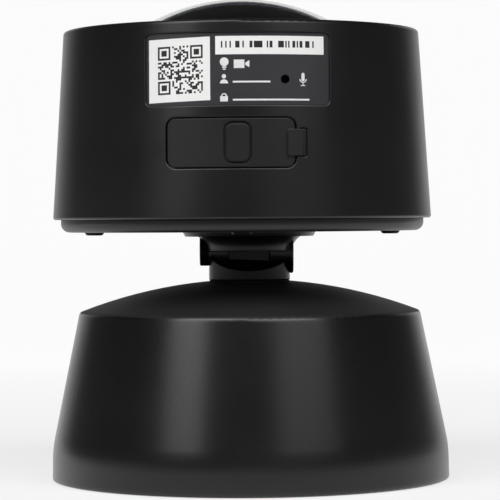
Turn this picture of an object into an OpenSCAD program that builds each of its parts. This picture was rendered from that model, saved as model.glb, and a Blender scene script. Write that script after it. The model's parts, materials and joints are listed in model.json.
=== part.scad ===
// Floodlight security camera on a round wall canopy, standing on its wall face.
// +Z runs from the wall face to the lens, and the label side looks along -Y.

/* [Canopy] */
// Diameter of the canopy at the wall
base_d = 120; // [116:0.5:134]
// Height of the canopy's shoulder above the wall
base_h = 50.3; // [44:0.1:60]
// Diameter of the canopy at its shoulder
shoulder_d = 103; // [96:0.5:106]
// Height of the nearly upright band at the wall
band_h = 9.7; // [9:0.1:14]
// How far the band draws in over its height
band_draft = 0.2; // [0:0.1:0.6]
// Radius that blends the band into the cone
band_blend = 35; // [10:1:45]
// Rise of the crown above the shoulder
crown_h = 9.7; // [7:0.1:12]
// Radius of the shoulder's edge
shoulder_round = 1.5; // [0.5:0.1:3]
// Wall of the canopy
base_wall = 2.4; // [1.8:0.1:3.4]
// Width of the foot that stands on the wall
foot_w = 4.2; // [3.6:0.1:6]
// Height of that foot
foot_h = 3.6; // [2.6:0.1:5]
// Width of the cord gasket in the foot
gasket_w = 1.8; // [1:0.1:2.2]
// Depth of the cord gasket's groove
gasket_h = 1.5; // [0.8:0.1:2]

/* [Crossbar] */
// Width of the mounting crossbar
bar_w = 22; // [18:0.5:28]
// Thickness of its steel
bar_t = 2; // [1.5:0.1:3]
// Height of its upturned ends
bar_tab_h = 11; // [10:0.1:14]
// Width of its upturned ends
bar_tab_w = 12; // [10:0.5:14]
// Distance between the centres of its two slots
slot_spacing = 78; // [70:0.5:84]
// Length of each slot, end to end
slot_l = 16; // [10:0.5:20]
// Width of each slot
slot_w = 4.6; // [4.2:0.1:6]
// Hole for the house wiring in the middle of the crossbar
wire_hole_d = 13; // [10:0.5:15]
// Height of the two canopy side screws above the wall
side_screw_z = 6.4; // [6:0.1:7]
// Thread of the side screws and of the earth screw
side_screw_d = 4; // [3:0.5:4.5]
// Head of the side screws
side_head_d = 7; // [6:0.1:7.8]
// Height of the heads of the side screws and the earth screw
side_head_h = 2.2; // [1.6:0.1:2.6]

/* [Swivel post] */
// Diameter of the post above the canopy
post_d = 24.5; // [23:0.1:27]
// Height of the tilt axis above the canopy's seat
hinge_rise = 9.25; // [8.6:0.05:14]
// Diameter of the hollow shaft through the canopy
shaft_d = 14; // [11:0.5:16]
// Bore for the leads up through the post
lead_bore_d = 6; // [4:0.5:6.5]
// Length of the canopy's bearing round the shaft
bearing_h = 7; // [5:0.5:10]
// Thickness of the seal under the post
seal_t = 0.6; // [0.4:0.1:1]
// Thickness of the stop washer
washer_t = 1.4; // [1:0.1:2]
// Height of the swivel nut
nut_h = 6; // [4:0.5:8]
// Swivel nut across its flats
nut_af = 21; // [19:0.5:24]

/* [Tilt hinge] */
// Width of the post's tongue
tongue_w = 12; // [10:0.5:13]
// Diameter of the tongue's round end
tongue_d = 10.2; // [9:0.1:10.4]
// Reach of the left ear from the swivel axis
ear_left = 12.1; // [11:0.1:12.6]
// Reach of the right ear from the swivel axis
ear_right = 13.3; // [12.6:0.1:14.5]
// Diameter of the hinge barrel at its left end
barrel_left_d = 9.4; // [9:0.1:11]
// Diameter of the hinge barrel at its right end
barrel_right_d = 13.8; // [11:0.1:14.2]
// Tilt of the head each way, in degrees
tilt_max = 22; // [10:1:22]
// Diameter of the hinge screw
hinge_d = 4; // [3:0.5:4]
// Head of the hinge screw
hinge_head_d = 9; // [7:0.1:9]
// Height of that head
hinge_head_h = 2.9; // [2:0.1:3.4]
// Radius of that head's edge
hinge_head_edge = 0.5; // [0.2:0.1:1]
// Hinge nut across its flats
hinge_nut_af = 7; // [6:0.1:8]
// Height of the hinge nut
hinge_nut_h = 3.2; // [2.4:0.1:3.6]
// Diameter of the neck above the axis
neck_d = 26.6; // [25:0.1:29]
// Diameter of the flared neck where it meets the flange
flare_d = 31.4; // [29.5:0.1:33]
// Rise of the flange above the axis
neck_rise = 4.4; // [4:0.1:7]
// Diameter of the flange where it lies on the rear cover
flange_d = 40.5; // [38:0.1:46]
// How far the flange's edge slopes in
flange_slope = 0.8; // [0.4:0.05:2]
// Thickness of the flange
flange_t = 1.5; // [1.2:0.1:3]
// Diameter of the threaded spigot inside the rear cover
spigot_d = 28; // [24:0.5:30]
// Height of the ring nut on that spigot
ring_nut_h = 3; // [2:0.1:5]

/* [Rear cover] */
// Sideways shift of the head from the swivel axis
head_shift = 2.1; // [0:0.1:4]
// How far the rear cover is set in from the drum's edge
cover_in = 2.35; // [1.6:0.05:3]
// Height of the rear cover below the drum
cover_h = 3.75; // [3.4:0.05:7]
// Radius of the rear cover's edge
cover_round = 2.6; // [0.8:0.1:3]
// Thickness of the rear cover's plate
cover_t = 3; // [2.6:0.1:3.6]
// Height of the cover's spigot inside the drum
cover_spigot_h = 4.5; // [4:0.1:6]
// Distance of the four cover screws from the drum's edge
cover_screw_in = 12.35; // [11.5:0.05:16]
// Diameter of the cover screws
cover_screw_d = 3; // [2:0.5:3.5]
// Heads of the cover screws
cover_head_d = 5.8; // [5:0.1:7]
// Height of those heads
cover_head_h = 2.2; // [1.6:0.1:2.6]
// How far those heads stand out of the cover
cover_head_out = 1; // [0.2:0.1:1.4]

/* [Drum] */
// Diameter of the drum at its rear edge
drum_rear_d = 114.3; // [104:0.1:124]
// How much narrower the drum is at its front rim
drum_taper = 7.2; // [3:0.1:9]
// Height of the drum
drum_h = 56.5; // [56:0.1:66]
// Wall of the drum
drum_wall = 2.6; // [2.2:0.1:2.8]
// Radius of the front rim's edge
rim_round = 1; // [0.4:0.1:1.2]

/* [Front] */
// Depth of the bezel below the rim
bezel_drop = 0.4; // [0:0.1:1]
// Thickness of the bezel
bezel_t = 2.4; // [1.6:0.1:3]
// Radial width of the bezel
bezel_w = 3.6; // [2.6:0.1:5]
// Thickness of the window seal
window_seal_t = 0.8; // [0.5:0.1:1.2]
// Thickness of the light window
window_t = 2.2; // [1.6:0.1:3]
// Depth of the reflector
reflector_h = 9; // [7:0.1:10]
// Number of lamps in the ring
lamp_count = 12; // [8:1:16]
// Mouth of each reflector cup
cup_d = 12; // [10:0.1:12.6]
// Floor of each reflector cup
cup_floor_d = 6.4; // [5.6:0.1:8]
// Side of each square lamp
lamp_w = 3.5; // [2.5:0.1:3.8]
// Height of each lamp
lamp_h = 0.9; // [0.5:0.1:1.2]
// Thickness of the circuit boards
board_t = 1.6; // [1:0.1:2]
// Thickness of the heat sink's plate
sink_t = 3.4; // [2.5:0.1:5]
// Depth of the heat sink's fins
fin_h = 8; // [4:0.5:9]
// Thickness of each fin
fin_t = 2; // [1.4:0.1:2.4]
// Number of fins
fin_count = 9; // [5:2:11]
// Thickness of the drum's shelf under the heat sink
shelf_t = 2.6; // [2:0.1:3]
// How far that shelf stands in from the wall
shelf_w = 4.4; // [3.4:0.1:5]

/* [Lens dome] */
// Rise of the dome's top above the rim
dome_rise = 9.9; // [8:0.1:14]
// Radius of the dome's sphere
dome_r = 57.6; // [50:0.1:70]
// Width of the lamp ring from the dome's skirt to the drum's rim
lamp_band = 20.35; // [19:0.05:24]
// Wall of the clear dome
dome_wall = 1.4; // [1:0.1:2]
// Radial width of the flange that holds the dome
dome_flange_w = 2.4; // [1.6:0.1:3]
// Radial width of the retaining ring
retainer_w = 4; // [3.4:0.1:5]
// Height of the retaining ring
retainer_h = 2; // [1.4:0.1:2.4]
// Wall of the black shroud inside the dome
shroud_wall = 1.2; // [0.8:0.1:1.6]
// Opening of the shroud for the lens
shroud_hole_d = 18; // [17:0.1:22]
// Diameter of the lens barrel
barrel_d = 16; // [14:0.1:16.4]
// Diameter of the lens holder on its board
holder_d = 22; // [18:0.1:26]
// Height of the lens holder
holder_h = 9; // [6:0.1:12]
// Diameter of the front lens
lens_d = 12; // [10:0.1:13]
// Thickness of the front lens at its edge
lens_t = 2; // [1:0.1:3]
// Side of the sensor board
sensor_w = 32; // [28:0.5:33]

/* [Label] */
// Width of the label's recess
label_w = 52.3; // [44:0.1:56]
// Height of the label's recess
label_h = 20.8; // [16:0.1:21]
// Drop from the rim to the recess
label_drop = 3.7; // [3.6:0.1:6]
// Sideways place of the label on the drum
label_x = -0.85; // [-3:0.05:3]
// Corner radius of the label
label_round = 1.6; // [0.8:0.1:3]
// Depth of the label's recess
label_deep = 0.8; // [0.3:0.05:1]
// Thickness of the label panel
label_t = 0.35; // [0.2:0.05:0.5]
// Sideways place of the microphone from the label's middle
mic_x = 13.45; // [10:0.05:18]
// Drop of the microphone below the label's middle
mic_drop = 3; // [0:0.05:4]
// Diameter of the microphone's hole
mic_hole_d = 2.5; // [1:0.1:3]
// Diameter of the microphone
mic_d = 6; // [4:0.1:7]
// Length of the microphone
mic_l = 3.4; // [2.4:0.1:5]

/* [Port] */
// Width of the rubber plug
plug_w = 36; // [35:0.1:40]
// Height of the rubber plug
plug_h = 13.7; // [13:0.1:16]
// Drop from the label's recess to the plug
plug_gap = 3.6; // [2:0.1:4]
// Sideways place of the plug on the drum
plug_x = -2.8; // [-4:0.05:0]
// Corner radius of the plug
plug_round = 2.3; // [1:0.1:3]
// Thickness of the plug's face
plug_t = 1.6; // [1.2:0.1:1.8]
// How far the plug's skirt is set in from its edge
skirt_in = 2; // [1.6:0.1:2.6]
// Wall of the plug's skirt
skirt_t = 1.2; // [0.8:0.1:1.6]
// Width of the plug's grip
grip_w = 6.5; // [6:0.1:10]
// Sideways place of the grip on the plug
grip_shift = 1.9; // [0:0.05:3]
// Height of the plug's grip
grip_h = 10.5; // [8:0.1:10.8]
// Width of the groove round the grip
groove_w = 0.75; // [0.3:0.05:0.8]
// Depth of that groove and rise of the grip
groove_deep = 0.5; // [0.2:0.05:0.6]
// Height of the tether's tab
tab_h = 7.5; // [5:0.1:9]
// Reach of the tab over the plug
tab_in = 1.9; // [1.5:0.1:5]
// Reach of the tab past the plug
tab_out = 3.3; // [2.6:0.1:4]
// Rise of the tab above the drum
tab_rise = 0.8; // [0.6:0.1:1.2]
// Diameter of the tether's bead
bead_d = 1.6; // [1.4:0.1:1.8]
// Depth of the port's floor below the drum's front
port_deep = 6.2; // [5.6:0.1:8]
// Thickness of the port's floor
port_floor_t = 1.6; // [1.2:0.1:2.4]
// Wall round the port
port_wall = 1.8; // [1.2:0.1:2.4]
// Sideways place of the memory card on the plug
card_shift = 2.8; // [2:0.05:3]
// Drop of the memory card below the plug's middle
card_drop = 1.6; // [1:0.1:2]
// Width of the memory card
card_w = 11; // [10.8:0.1:12]
// Length of the memory card
card_l = 15; // [12:0.1:18]
// Thickness of the memory card
card_t = 1; // [0.7:0.1:1.4]
// How far the card stands out of the port's floor
card_out = 1.6; // [1.2:0.1:2]
// Push stroke that lets the card go
card_stroke = 0.8; // [0.4:0.1:1]
// Sideways place of the reset button from the card
reset_x = 11; // [9.6:0.1:11.4]
// Diameter of the reset button
reset_d = 3; // [2:0.1:3.6]
// How far the reset button stands out of the port's floor
reset_out = 0.7; // [0.5:0.1:1]
// Stroke of the reset button
reset_stroke = 0.4; // [0.2:0.05:0.5]

/* [Clearances] */
// Room round a turning shaft, on the radius
run_gap = 0.05; // [0.02:0.01:0.1]
// Room between fixed pieces that fit into each other
fit_gap = 0.1; // [0.05:0.05:0.2]
// Room beside a moving piece
side_gap = 0.3; // [0.2:0.05:0.4]
// Room round the rubber plug
plug_room = 0.5; // [0.3:0.05:0.6]

/* [Hidden] */
$fn = 96;
over = 1;
sliver = 0.01;
cover_screws = [1:4];
lamps = [1:lamp_count];

// Canopy outline
base_r = base_d / 2;
band_r = base_r - band_draft;
shoulder_r = shoulder_d / 2;
foot_edge = 0.6;
crown_r = (shoulder_r * shoulder_r + crown_h * crown_h) / (2 * crown_h);
crown_o = [0, base_h + crown_h - crown_r];
seat_edge = 1.15;
seat_r = post_d / 2 + seat_edge;
seat_z = crown_o[1] + sqrt(crown_r * crown_r - seat_r * seat_r);
cone_way = unit([shoulder_r - band_r, base_h - band_h]);
cone_in = [-cone_way[1], cone_way[0]];
shoulder_q = [shoulder_r, base_h] + cone_in * shoulder_round - crown_o;
shoulder_back = -shoulder_q * cone_way
    + sqrt(pow(shoulder_q * cone_way, 2) - shoulder_q * shoulder_q + pow(crown_r - shoulder_round, 2));
shoulder_low = [shoulder_r, base_h] + cone_way * shoulder_back;
shoulder_o = shoulder_low + cone_in * shoulder_round;
shoulder_top = crown_o + (shoulder_o - crown_o) * crown_r / (crown_r - shoulder_round);
gasket_r = base_r - foot_w / 2;

// Side screws and crossbar
pad_wall = 1.6;
pad_r = side_head_d / 2 + pad_wall;
pad_x = base_r - foot_w - side_gap;
bar_x = pad_x - fit_gap;
side_face = sqrt(pow(band_r, 2) - pow(side_head_d / 2, 2)) - fit_gap;
earth_x = slot_spacing / 4;
screw_past = 1;

// Pan heads, as shares of the head's diameter and height
head_edge = 0.45;
recess_w = 0.16;
recess_l = 0.6;
recess_deep = 0.5;

// Swivel
post_z = seat_z + seal_t;
bearing_wall = 5;
bearing_r = shaft_d / 2 + bearing_wall;
bearing_z = seat_z - bearing_h;
washer_z = bearing_z - run_gap - washer_t;
nut_z = washer_z - nut_h;
thread_out = 3;
shaft_z = nut_z - thread_out;
washer_edge = 0.5;
washer_r = bearing_r - washer_edge;
stop_reach = 5;
stop_w = 3;
stop_in = washer_r + side_gap;
stop_top = base_h + crown_h - base_wall / 2 - over;
seal_room = 1;
seal_round = 0.7;
grommet_wall = 1;
grommet_lip = 2;
grommet_t = 1.6;
grommet_in = 4;

// Tilt hinge
hinge_z = seat_z + hinge_rise;
barrel_slope = (barrel_right_d - barrel_left_d) / (ear_left + ear_right);
function barrel_r(x) = (barrel_left_d + barrel_slope * (x + ear_left)) / 2;
neck_r = neck_d / 2;
flare_r = flare_d / 2;
flare_run = flare_r - neck_r;
flare_arc = (flare_run * flare_run + neck_rise * neck_rise) / (2 * flare_run);
flange_z = hinge_z + neck_rise;
cover_z = flange_z + flange_t;
spigot_past = 0.6;
spigot_top = cover_z + cover_t + ring_nut_h + spigot_past;
lead_room = 1;
ring_nut_wall = 4.5;
ring_notches = 6;
ring_notch_w = 3;
ring_notch_deep = 1.5;
slot_half = tongue_w / 2 + side_gap;
tilt_room = 2;
tilt_clear = tilt_max + tilt_room;
boss_d = tongue_d - 2 * side_gap;

// Drum and front stack, measured down from the rim
drum_front_d = drum_rear_d - drum_taper;
cover_d = drum_rear_d - 2 * cover_in;
cover_screw_circle = drum_rear_d - 2 * cover_screw_in;
dome_d = drum_front_d - 2 * lamp_band;
drum_z = cover_z + cover_h;
rim_z = drum_z + drum_h;
bezel_z = rim_z - bezel_drop - bezel_t;
window_top = bezel_z - window_seal_t;
window_z = window_top - window_t;
reflector_z = window_z - reflector_h;
led_board_z = reflector_z - board_t;
sink_z = led_board_z - sink_t;
function drum_r(z) = (drum_rear_d - (drum_rear_d - drum_front_d) * (z - drum_z) / drum_h) / 2;
function bore_r(z) = drum_r(z) - drum_wall;
bezel_step = 0.8;
bezel_r = bore_r(bezel_z) + bezel_step;
bezel_round = 1;
window_r = bore_r(window_top) - side_gap;
sink_r = bore_r(led_board_z) - side_gap;
shelf_r = bore_r(sink_z) - shelf_w;
drum_edge = 0.5;

// Rear cover's lip and its seal
cover_lip_r = bore_r(drum_z + cover_spigot_h) - 2 * fit_gap;
cover_lip_w = 3.2;
cover_lip_edge = 0.5;
cover_seal_z = drum_z + cover_spigot_h / 2;
cover_seal_h = 1.6;
cover_groove = 1.3;
board_post_d = 6;

// Lens dome
dome_o = rim_z + dome_rise - dome_r;
dome_skirt_r = dome_d / 2;
dome_flange_r = dome_skirt_r + dome_flange_w;
retainer_in = dome_skirt_r + fit_gap;
retainer_r = retainer_in + retainer_w;
window_in = dome_flange_r + fit_gap;
shroud_flange_t = window_t / 2;
shroud_r = dome_r - dome_wall - side_gap;
shroud_skirt_r = dome_skirt_r - dome_wall - side_gap;
shroud_in = shroud_skirt_r - shroud_wall;
lens_back = 0.6;
lens_top = dome_o + sqrt(pow(shroud_r, 2) - pow(shroud_hole_d / 2, 2)) - lens_back;
lens_sink = 1;
lens_low = lens_top - lens_t - lens_sink;
holder_round = 1;
lens_edge = 0.6;
retainer_round = 1.2;
retainer_edge = 0.3;
lamp_ring_r = (retainer_r + bezel_r - bezel_w) / 2;
board_room = 1;
board_in = sensor_w / sqrt(2) + board_room;
holder_z = led_board_z + board_t;

// Label and port, measured down from the rim
label_z = rim_z - label_drop - label_h / 2;
mic_at = [label_x + mic_x, label_z - mic_drop];
mic_wall = 1.5;
mic_boss_d = mic_d + 2 * mic_wall;
mic_back = 1;
mic_seat_y = mic_back - sqrt(pow(bore_r(mic_at[1]), 2) - pow(mic_at[0], 2));
plug_z = rim_z - label_drop - label_h - plug_gap - plug_h / 2;
plug_right = plug_x + plug_w / 2;
port_y = port_deep - drum_r(plug_z);
port_back = port_y + port_floor_t;
port_w = plug_w - 2 * skirt_in + 2 * plug_room;
port_h = plug_h - 2 * skirt_in + 2 * plug_room;
card_x = plug_x + card_shift;
card_z = plug_z - card_drop;
card_notch = 1.2;
card_notch_at = 0.45;
socket_lip = 0.8;
board_z = card_z - card_t / 2 - socket_lip - board_t;
collar_t = 1;
collar_w = 0.5;
board_edge = 4;
main_board_r = min(bore_r(board_z) - board_edge, -port_back - collar_t - reset_stroke - 2 * side_gap);
bead_x = plug_right + tab_out - bead_d / 2;
bead_ring = drum_r(plug_z) + tab_rise - bead_d / 2;
bead_at = [bead_x, -sqrt(bead_ring * bead_ring - bead_x * bead_x)];
reset_at = card_x - reset_x;
switch_w = 4.4;
switch_l = 3.4;
grip_x = plug_x + grip_shift;
grip_round = 1.8;
tab_round = 0.6;
anchor_t = 0.6;
tether_floor = bead_at[1] + bead_d / 2 + run_gap + anchor_t;

// Columns of the cover screws
column_wall = 2.4;
column_r = cover_screw_d / 2 + column_wall;
column_h = 13;
column_end = 2;
column_top = min(board_z - column_end, drum_z + column_h);
cover_screw_end = column_top - column_end;
web_t = 3;
post_in = 8;
post_ring_r = cover_screw_circle / 2 - post_in;

function unit(v) = v / norm(v);
function xy(p) = [p[0], p[1]];
function other(list, i, step) = xy(list[(i + step + len(list)) % len(list)]);
function way(list, i, step) = unit(other(list, i, step) - xy(list[i]));
function half_angle(list, i) = acos(way(list, i, -1) * way(list, i, 1)) / 2;
function arc_end(list, i, step) = xy(list[i]) + way(list, i, step) * list[i][2] / tan(half_angle(list, i));
function arc_mid(list, i) =
    xy(list[i]) + unit(way(list, i, -1) + way(list, i, 1)) * list[i][2] / sin(half_angle(list, i));
function is_round(list, i) = len(list[i]) > 2 && list[i][2] > 0;
function turns_left(list, i) = cross(-way(list, i, -1), way(list, i, 1)) > 0;

// The part of a disc that lies beyond its chord from p to q
module cap(p, q, centre, r) {
    mid = (p + q) / 2;
    rise = r - norm(mid - centre);
    intersection() {
        translate(centre) circle(r);
        polygon([p, mid + unit(mid - centre) * 4 * rise, q]);
    }
}

// The cap at corner i of an outline
module corner_cap(list, i) {
    cap(arc_end(list, i, -1), arc_end(list, i, 1), arc_mid(list, i), list[i][2]);
}

// A closed outline of [x, y] or [x, y, radius] points, anticlockwise, with true arcs at its corners
module rounded(list) {
    corners = [0:len(list) - 1];
    difference() {
        union() {
            polygon([for (i = corners)
                each is_round(list, i) ? [arc_end(list, i, -1), arc_end(list, i, 1)] : [xy(list[i])]]);
            for (i = corners) if (is_round(list, i) && turns_left(list, i)) corner_cap(list, i);
        }
        for (i = corners) if (is_round(list, i) && !turns_left(list, i)) corner_cap(list, i);
    }
}

module rounded_rect(w, h, r) {
    rounded([[-w / 2, -h / 2, r], [w / 2, -h / 2, r], [w / 2, h / 2, r], [-w / 2, h / 2, r]]);
}

module slot_outline(l, w) {
    square([l - w, w], center = true);
    for (end = [-1, 1]) translate([end * (l - w) / 2, 0]) circle(d = w);
}

module ring(r_in, r_out, z, h) {
    translate([0, 0, z]) rotate_extrude() translate([r_in, 0]) square([r_out - r_in, h]);
}

// Turns an upright shape so that its axis runs along +X from x
module along_x(x, y, z) {
    translate([x, y, z]) rotate([90, 0, 90]) children();
}

// Extrudes an outline drawn in X and Z from y_from to y_to
module through_y(x, z, y_from, y_to) {
    translate([x, y_to, z]) rotate([90, 0, 0]) linear_extrude(y_to - y_from) children();
}

module in_head() {
    translate([-head_shift, 0, 0]) children();
}

// Everything outside the drum's skin, or beyond a skin that lies further in
module outside_drum(inset) {
    rotate_extrude() polygon([
        [drum_r(drum_z) - inset, drum_z], [drum_rear_d, drum_z],
        [drum_rear_d, rim_z], [drum_r(rim_z) - inset, rim_z]]);
}

// Everything inside the middle of the drum's wall
module inside_wall() {
    rotate_extrude() polygon([
        [0, drum_z], [drum_r(drum_z) - drum_wall / 2, drum_z],
        [drum_r(rim_z) - drum_wall / 2, rim_z], [0, rim_z]]);
}

// Room round the microphone's boss
module mic_room() {
    through_y(mic_at[0], mic_at[1], -drum_rear_d, mic_seat_y + mic_l + side_gap)
        circle(d = mic_boss_d + 2 * side_gap);
}

// A piece of the drum's skin between two depths, cut out by an outline
module skin(x, z, inset, out) {
    difference() {
        intersection() {
            outside_drum(inset);
            through_y(x, z, -drum_rear_d, 0) children();
        }
        outside_drum(-out);
    }
}

module canopy_outline() {
    rounded([[0, 0], [base_r, 0, foot_edge], [band_r, band_h, band_blend], shoulder_low, shoulder_top,
        [seat_r, seat_z], [0, seat_z]]);
    cap(shoulder_low, shoulder_top, shoulder_o, shoulder_round);
    cap(shoulder_top, [seat_r, seat_z], crown_o, crown_r);
}

module canopy_hollow() {
    intersection() {
        translate(crown_o) circle(crown_r - base_wall);
        polygon([[0, -over], [base_r - foot_w, -over], [base_r - foot_w, foot_h],
            [base_r - base_wall, foot_h], [band_r - base_wall, band_h],
            [shoulder_r - base_wall, base_h], [shoulder_r - base_wall, base_h + crown_h],
            [0, base_h + crown_h]]);
    }
}

// The outline of the side screw's hole, along its own axis
module side_hole() {
    along_x(pad_x - over, 0, side_screw_z) cylinder(d = side_screw_d + 2 * fit_gap, h = base_r);
    along_x(side_face - side_head_h, 0, side_screw_z) cylinder(d = side_head_d + 2 * fit_gap, h = base_r);
}

module canopy() {
    color("#1c1c20") difference() {
        union() {
            rotate_extrude() difference() {
                canopy_outline();
                canopy_hollow();
            }
            translate([0, 0, bearing_z]) cylinder(r = bearing_r, h = bearing_h - seal_t);
            translate([-stop_w / 2, -bearing_r - stop_reach, washer_z])
                cube([stop_w, bearing_r + stop_reach - stop_in, stop_top - washer_z]);
            for (side = [0, 180]) rotate([0, 0, side]) intersection() {
                along_x(pad_x, 0, side_screw_z) cylinder(r = pad_r, h = foot_w + over);
                cylinder(r = band_r - base_wall / 2, h = 2 * side_screw_z);
            }
        }
        translate([0, 0, bearing_z - over]) cylinder(d = shaft_d + 2 * run_gap, h = bearing_h + 2 * over);
        ring(gasket_r - gasket_w / 2, gasket_r + gasket_w / 2, -over, gasket_h + over);
        for (side = [0, 180]) rotate([0, 0, side]) side_hole();
    }
}

module wall_gasket() {
    color("#303033") ring(gasket_r - gasket_w / 2, gasket_r + gasket_w / 2, fit_gap, gasket_h - fit_gap);
}

module crossbar() {
    color("#b9bcc0") difference() {
        union() {
            translate([-bar_x, -bar_w / 2, 0]) cube([2 * bar_x, bar_w, bar_t]);
            for (side = [0, 180]) rotate([0, 0, side])
                translate([bar_x - bar_t, -bar_tab_w / 2, 0]) cube([bar_t, bar_tab_w, bar_tab_h]);
        }
        for (side = [0, 180]) rotate([0, 0, side]) {
            translate([0, 0, -over]) linear_extrude(bar_t + 2 * over)
                translate([slot_spacing / 2, 0]) slot_outline(slot_l, slot_w);
            along_x(bar_x - bar_t - over, 0, side_screw_z)
                cylinder(d = side_screw_d + 2 * fit_gap, h = bar_t + 2 * over);
            bar_corner();
            mirror([0, 1, 0]) bar_corner();
        }
        translate([0, 0, -over]) cylinder(d = wire_hole_d, h = bar_t + 2 * over);
        translate([earth_x, 0, -over]) cylinder(d = side_screw_d + 2 * fit_gap, h = bar_t + 2 * over);
    }
}

// The corner that is cropped from each end of the crossbar, beside its tab
module bar_corner() {
    crop = (bar_w - bar_tab_w) / 2;
    translate([0, 0, -over]) linear_extrude(bar_t + 2 * over) polygon([
        [bar_x + over, bar_tab_w / 2], [bar_x + over, bar_w / 2 + over],
        [bar_x - 2 * crop, bar_w / 2 + over], [bar_x - 2 * crop, bar_w / 2],
        [bar_x - bar_t - fit_gap, bar_tab_w / 2]]);
}

// A pan head on a shank, with its seat at z = 0, the shank below it and a cross recess
module pan_screw(d, head_d, head_h, shank, edge) {
    difference() {
        union() {
            rotate_extrude() rounded([[0, 0], [head_d / 2, 0], [head_d / 2, head_h, edge], [0, head_h]]);
            translate([0, 0, -shank]) cylinder(d = d, h = shank + head_h / 2);
        }
        for (turn = [0, 90]) rotate([0, 0, turn])
            translate([-head_d * recess_l / 2, -head_d * recess_w / 2, head_h * (1 - recess_deep)])
                cube([head_d * recess_l, head_d * recess_w, head_h]);
    }
}

module side_screw(i) {
    under_head = side_face - side_head_h;
    color("#2a2a2d") rotate([0, 0, 180 * i]) along_x(under_head, 0, side_screw_z)
        pan_screw(side_screw_d, side_head_d, side_head_h, under_head - bar_x + bar_t + screw_past,
            side_head_h * head_edge);
}

module earth_screw() {
    color("#3d8a4c") translate([earth_x, 0, bar_t])
        pan_screw(side_screw_d, side_head_d, side_head_h, bar_t - fit_gap, side_head_h * head_edge);
}

module swivel_seal() {
    inner = shaft_d / 2 + seal_room;
    outer = post_d / 2 - fit_gap;
    top = seal_t - run_gap;
    color("#202022") translate([0, 0, seat_z]) rotate_extrude()
        rounded([[inner, 0], [outer, 0], [outer, top, seal_t * seal_round], [inner, top]]);
}

// The tongue's outline across the axis
module tongue_outline() {
    circle(d = tongue_d);
    translate([-tongue_d / 2, post_z + over - hinge_z]) square([tongue_d, hinge_z - post_z - over]);
}

// The post's roof across the axis, low enough for the neck at either end of its tilt
module roof_outline() {
    ridge = -side_gap - fit_gap;
    eaves = ridge - post_d * tan(tilt_clear);
    polygon([[0, ridge], [-post_d, eaves], [-post_d, -hinge_z], [post_d, -hinge_z], [post_d, eaves]]);
}

// Room for the tongue across the axis over its whole tilt
module tongue_room() {
    r = tongue_d / 2 + 2 * side_gap;
    side = r * [cos(tilt_clear), sin(tilt_clear)];
    foot = side + barrel_right_d * [sin(tilt_clear), -cos(tilt_clear)];
    circle(r);
    polygon([side, [-side[0], side[1]], [-foot[0], foot[1]], foot]);
}

module swivel_post() {
    color("#161618") difference() {
        union() {
            // A cradle that the hinge barrel turns in
            difference() {
                intersection() {
                    translate([0, 0, post_z]) cylinder(d = post_d, h = hinge_rise);
                    along_x(-post_d, 0, hinge_z) linear_extrude(2 * post_d) roof_outline();
                }
                along_x(-post_d, 0, hinge_z) cylinder(
                    r1 = barrel_r(-post_d) + side_gap, r2 = barrel_r(post_d) + side_gap, h = 2 * post_d);
            }
            along_x(run_gap - slot_half, 0, hinge_z) cylinder(d = boss_d, h = 2 * (slot_half - run_gap));
            along_x(-tongue_w / 2, 0, hinge_z) linear_extrude(tongue_w) tongue_outline();
            translate([0, 0, shaft_z]) cylinder(d = shaft_d, h = post_z - shaft_z + over);
        }
        along_x(-tongue_w, 0, hinge_z) cylinder(d = hinge_d + 2 * run_gap, h = 2 * tongue_w);
        translate([0, 0, shaft_z - over]) cylinder(d = lead_bore_d, h = hinge_z + tongue_d - shaft_z);
    }
}

module stop_washer() {
    color("#c4c6c9") translate([0, 0, washer_z]) difference() {
        union() {
            cylinder(r = washer_r, h = washer_t);
            translate([-stop_w / 2, 0, 0]) cube([stop_w, bearing_r + stop_reach, washer_t]);
        }
        translate([0, 0, -over]) cylinder(d = shaft_d + 2 * fit_gap, h = washer_t + 2 * over);
    }
}

module swivel_nut() {
    color("#a9acb0") translate([0, 0, nut_z]) difference() {
        cylinder(d = nut_af / cos(30), h = nut_h, $fn = 6);
        translate([0, 0, -over]) cylinder(d = shaft_d + 2 * fit_gap, h = nut_h + 2 * over);
    }
}

module lead_grommet() {
    hole_r = lead_bore_d / 2 - grommet_wall;
    neck = lead_bore_d / 2 - fit_gap;
    lip = lead_bore_d / 2 + grommet_lip;
    color("#26262a") translate([0, 0, shaft_z]) rotate_extrude() rounded([
        [hole_r, -grommet_t, grommet_t / 3], [lip, -grommet_t, grommet_t / 2], [lip, 0],
        [neck, 0], [neck, grommet_in], [hole_r, grommet_in]]);
}

module neck_profile() {
    difference() {
        translate([0, hinge_z]) square([flare_r, neck_rise + flange_t / 2]);
        translate([neck_r + flare_arc, hinge_z]) circle(flare_arc);
    }
    polygon([
        [0, flange_z], [flange_d / 2 - flange_slope, flange_z], [flange_d / 2, cover_z], [0, cover_z]]);
    translate([0, cover_z - flange_t / 2]) square([spigot_d / 2, spigot_top - cover_z + flange_t / 2]);
}

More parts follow.
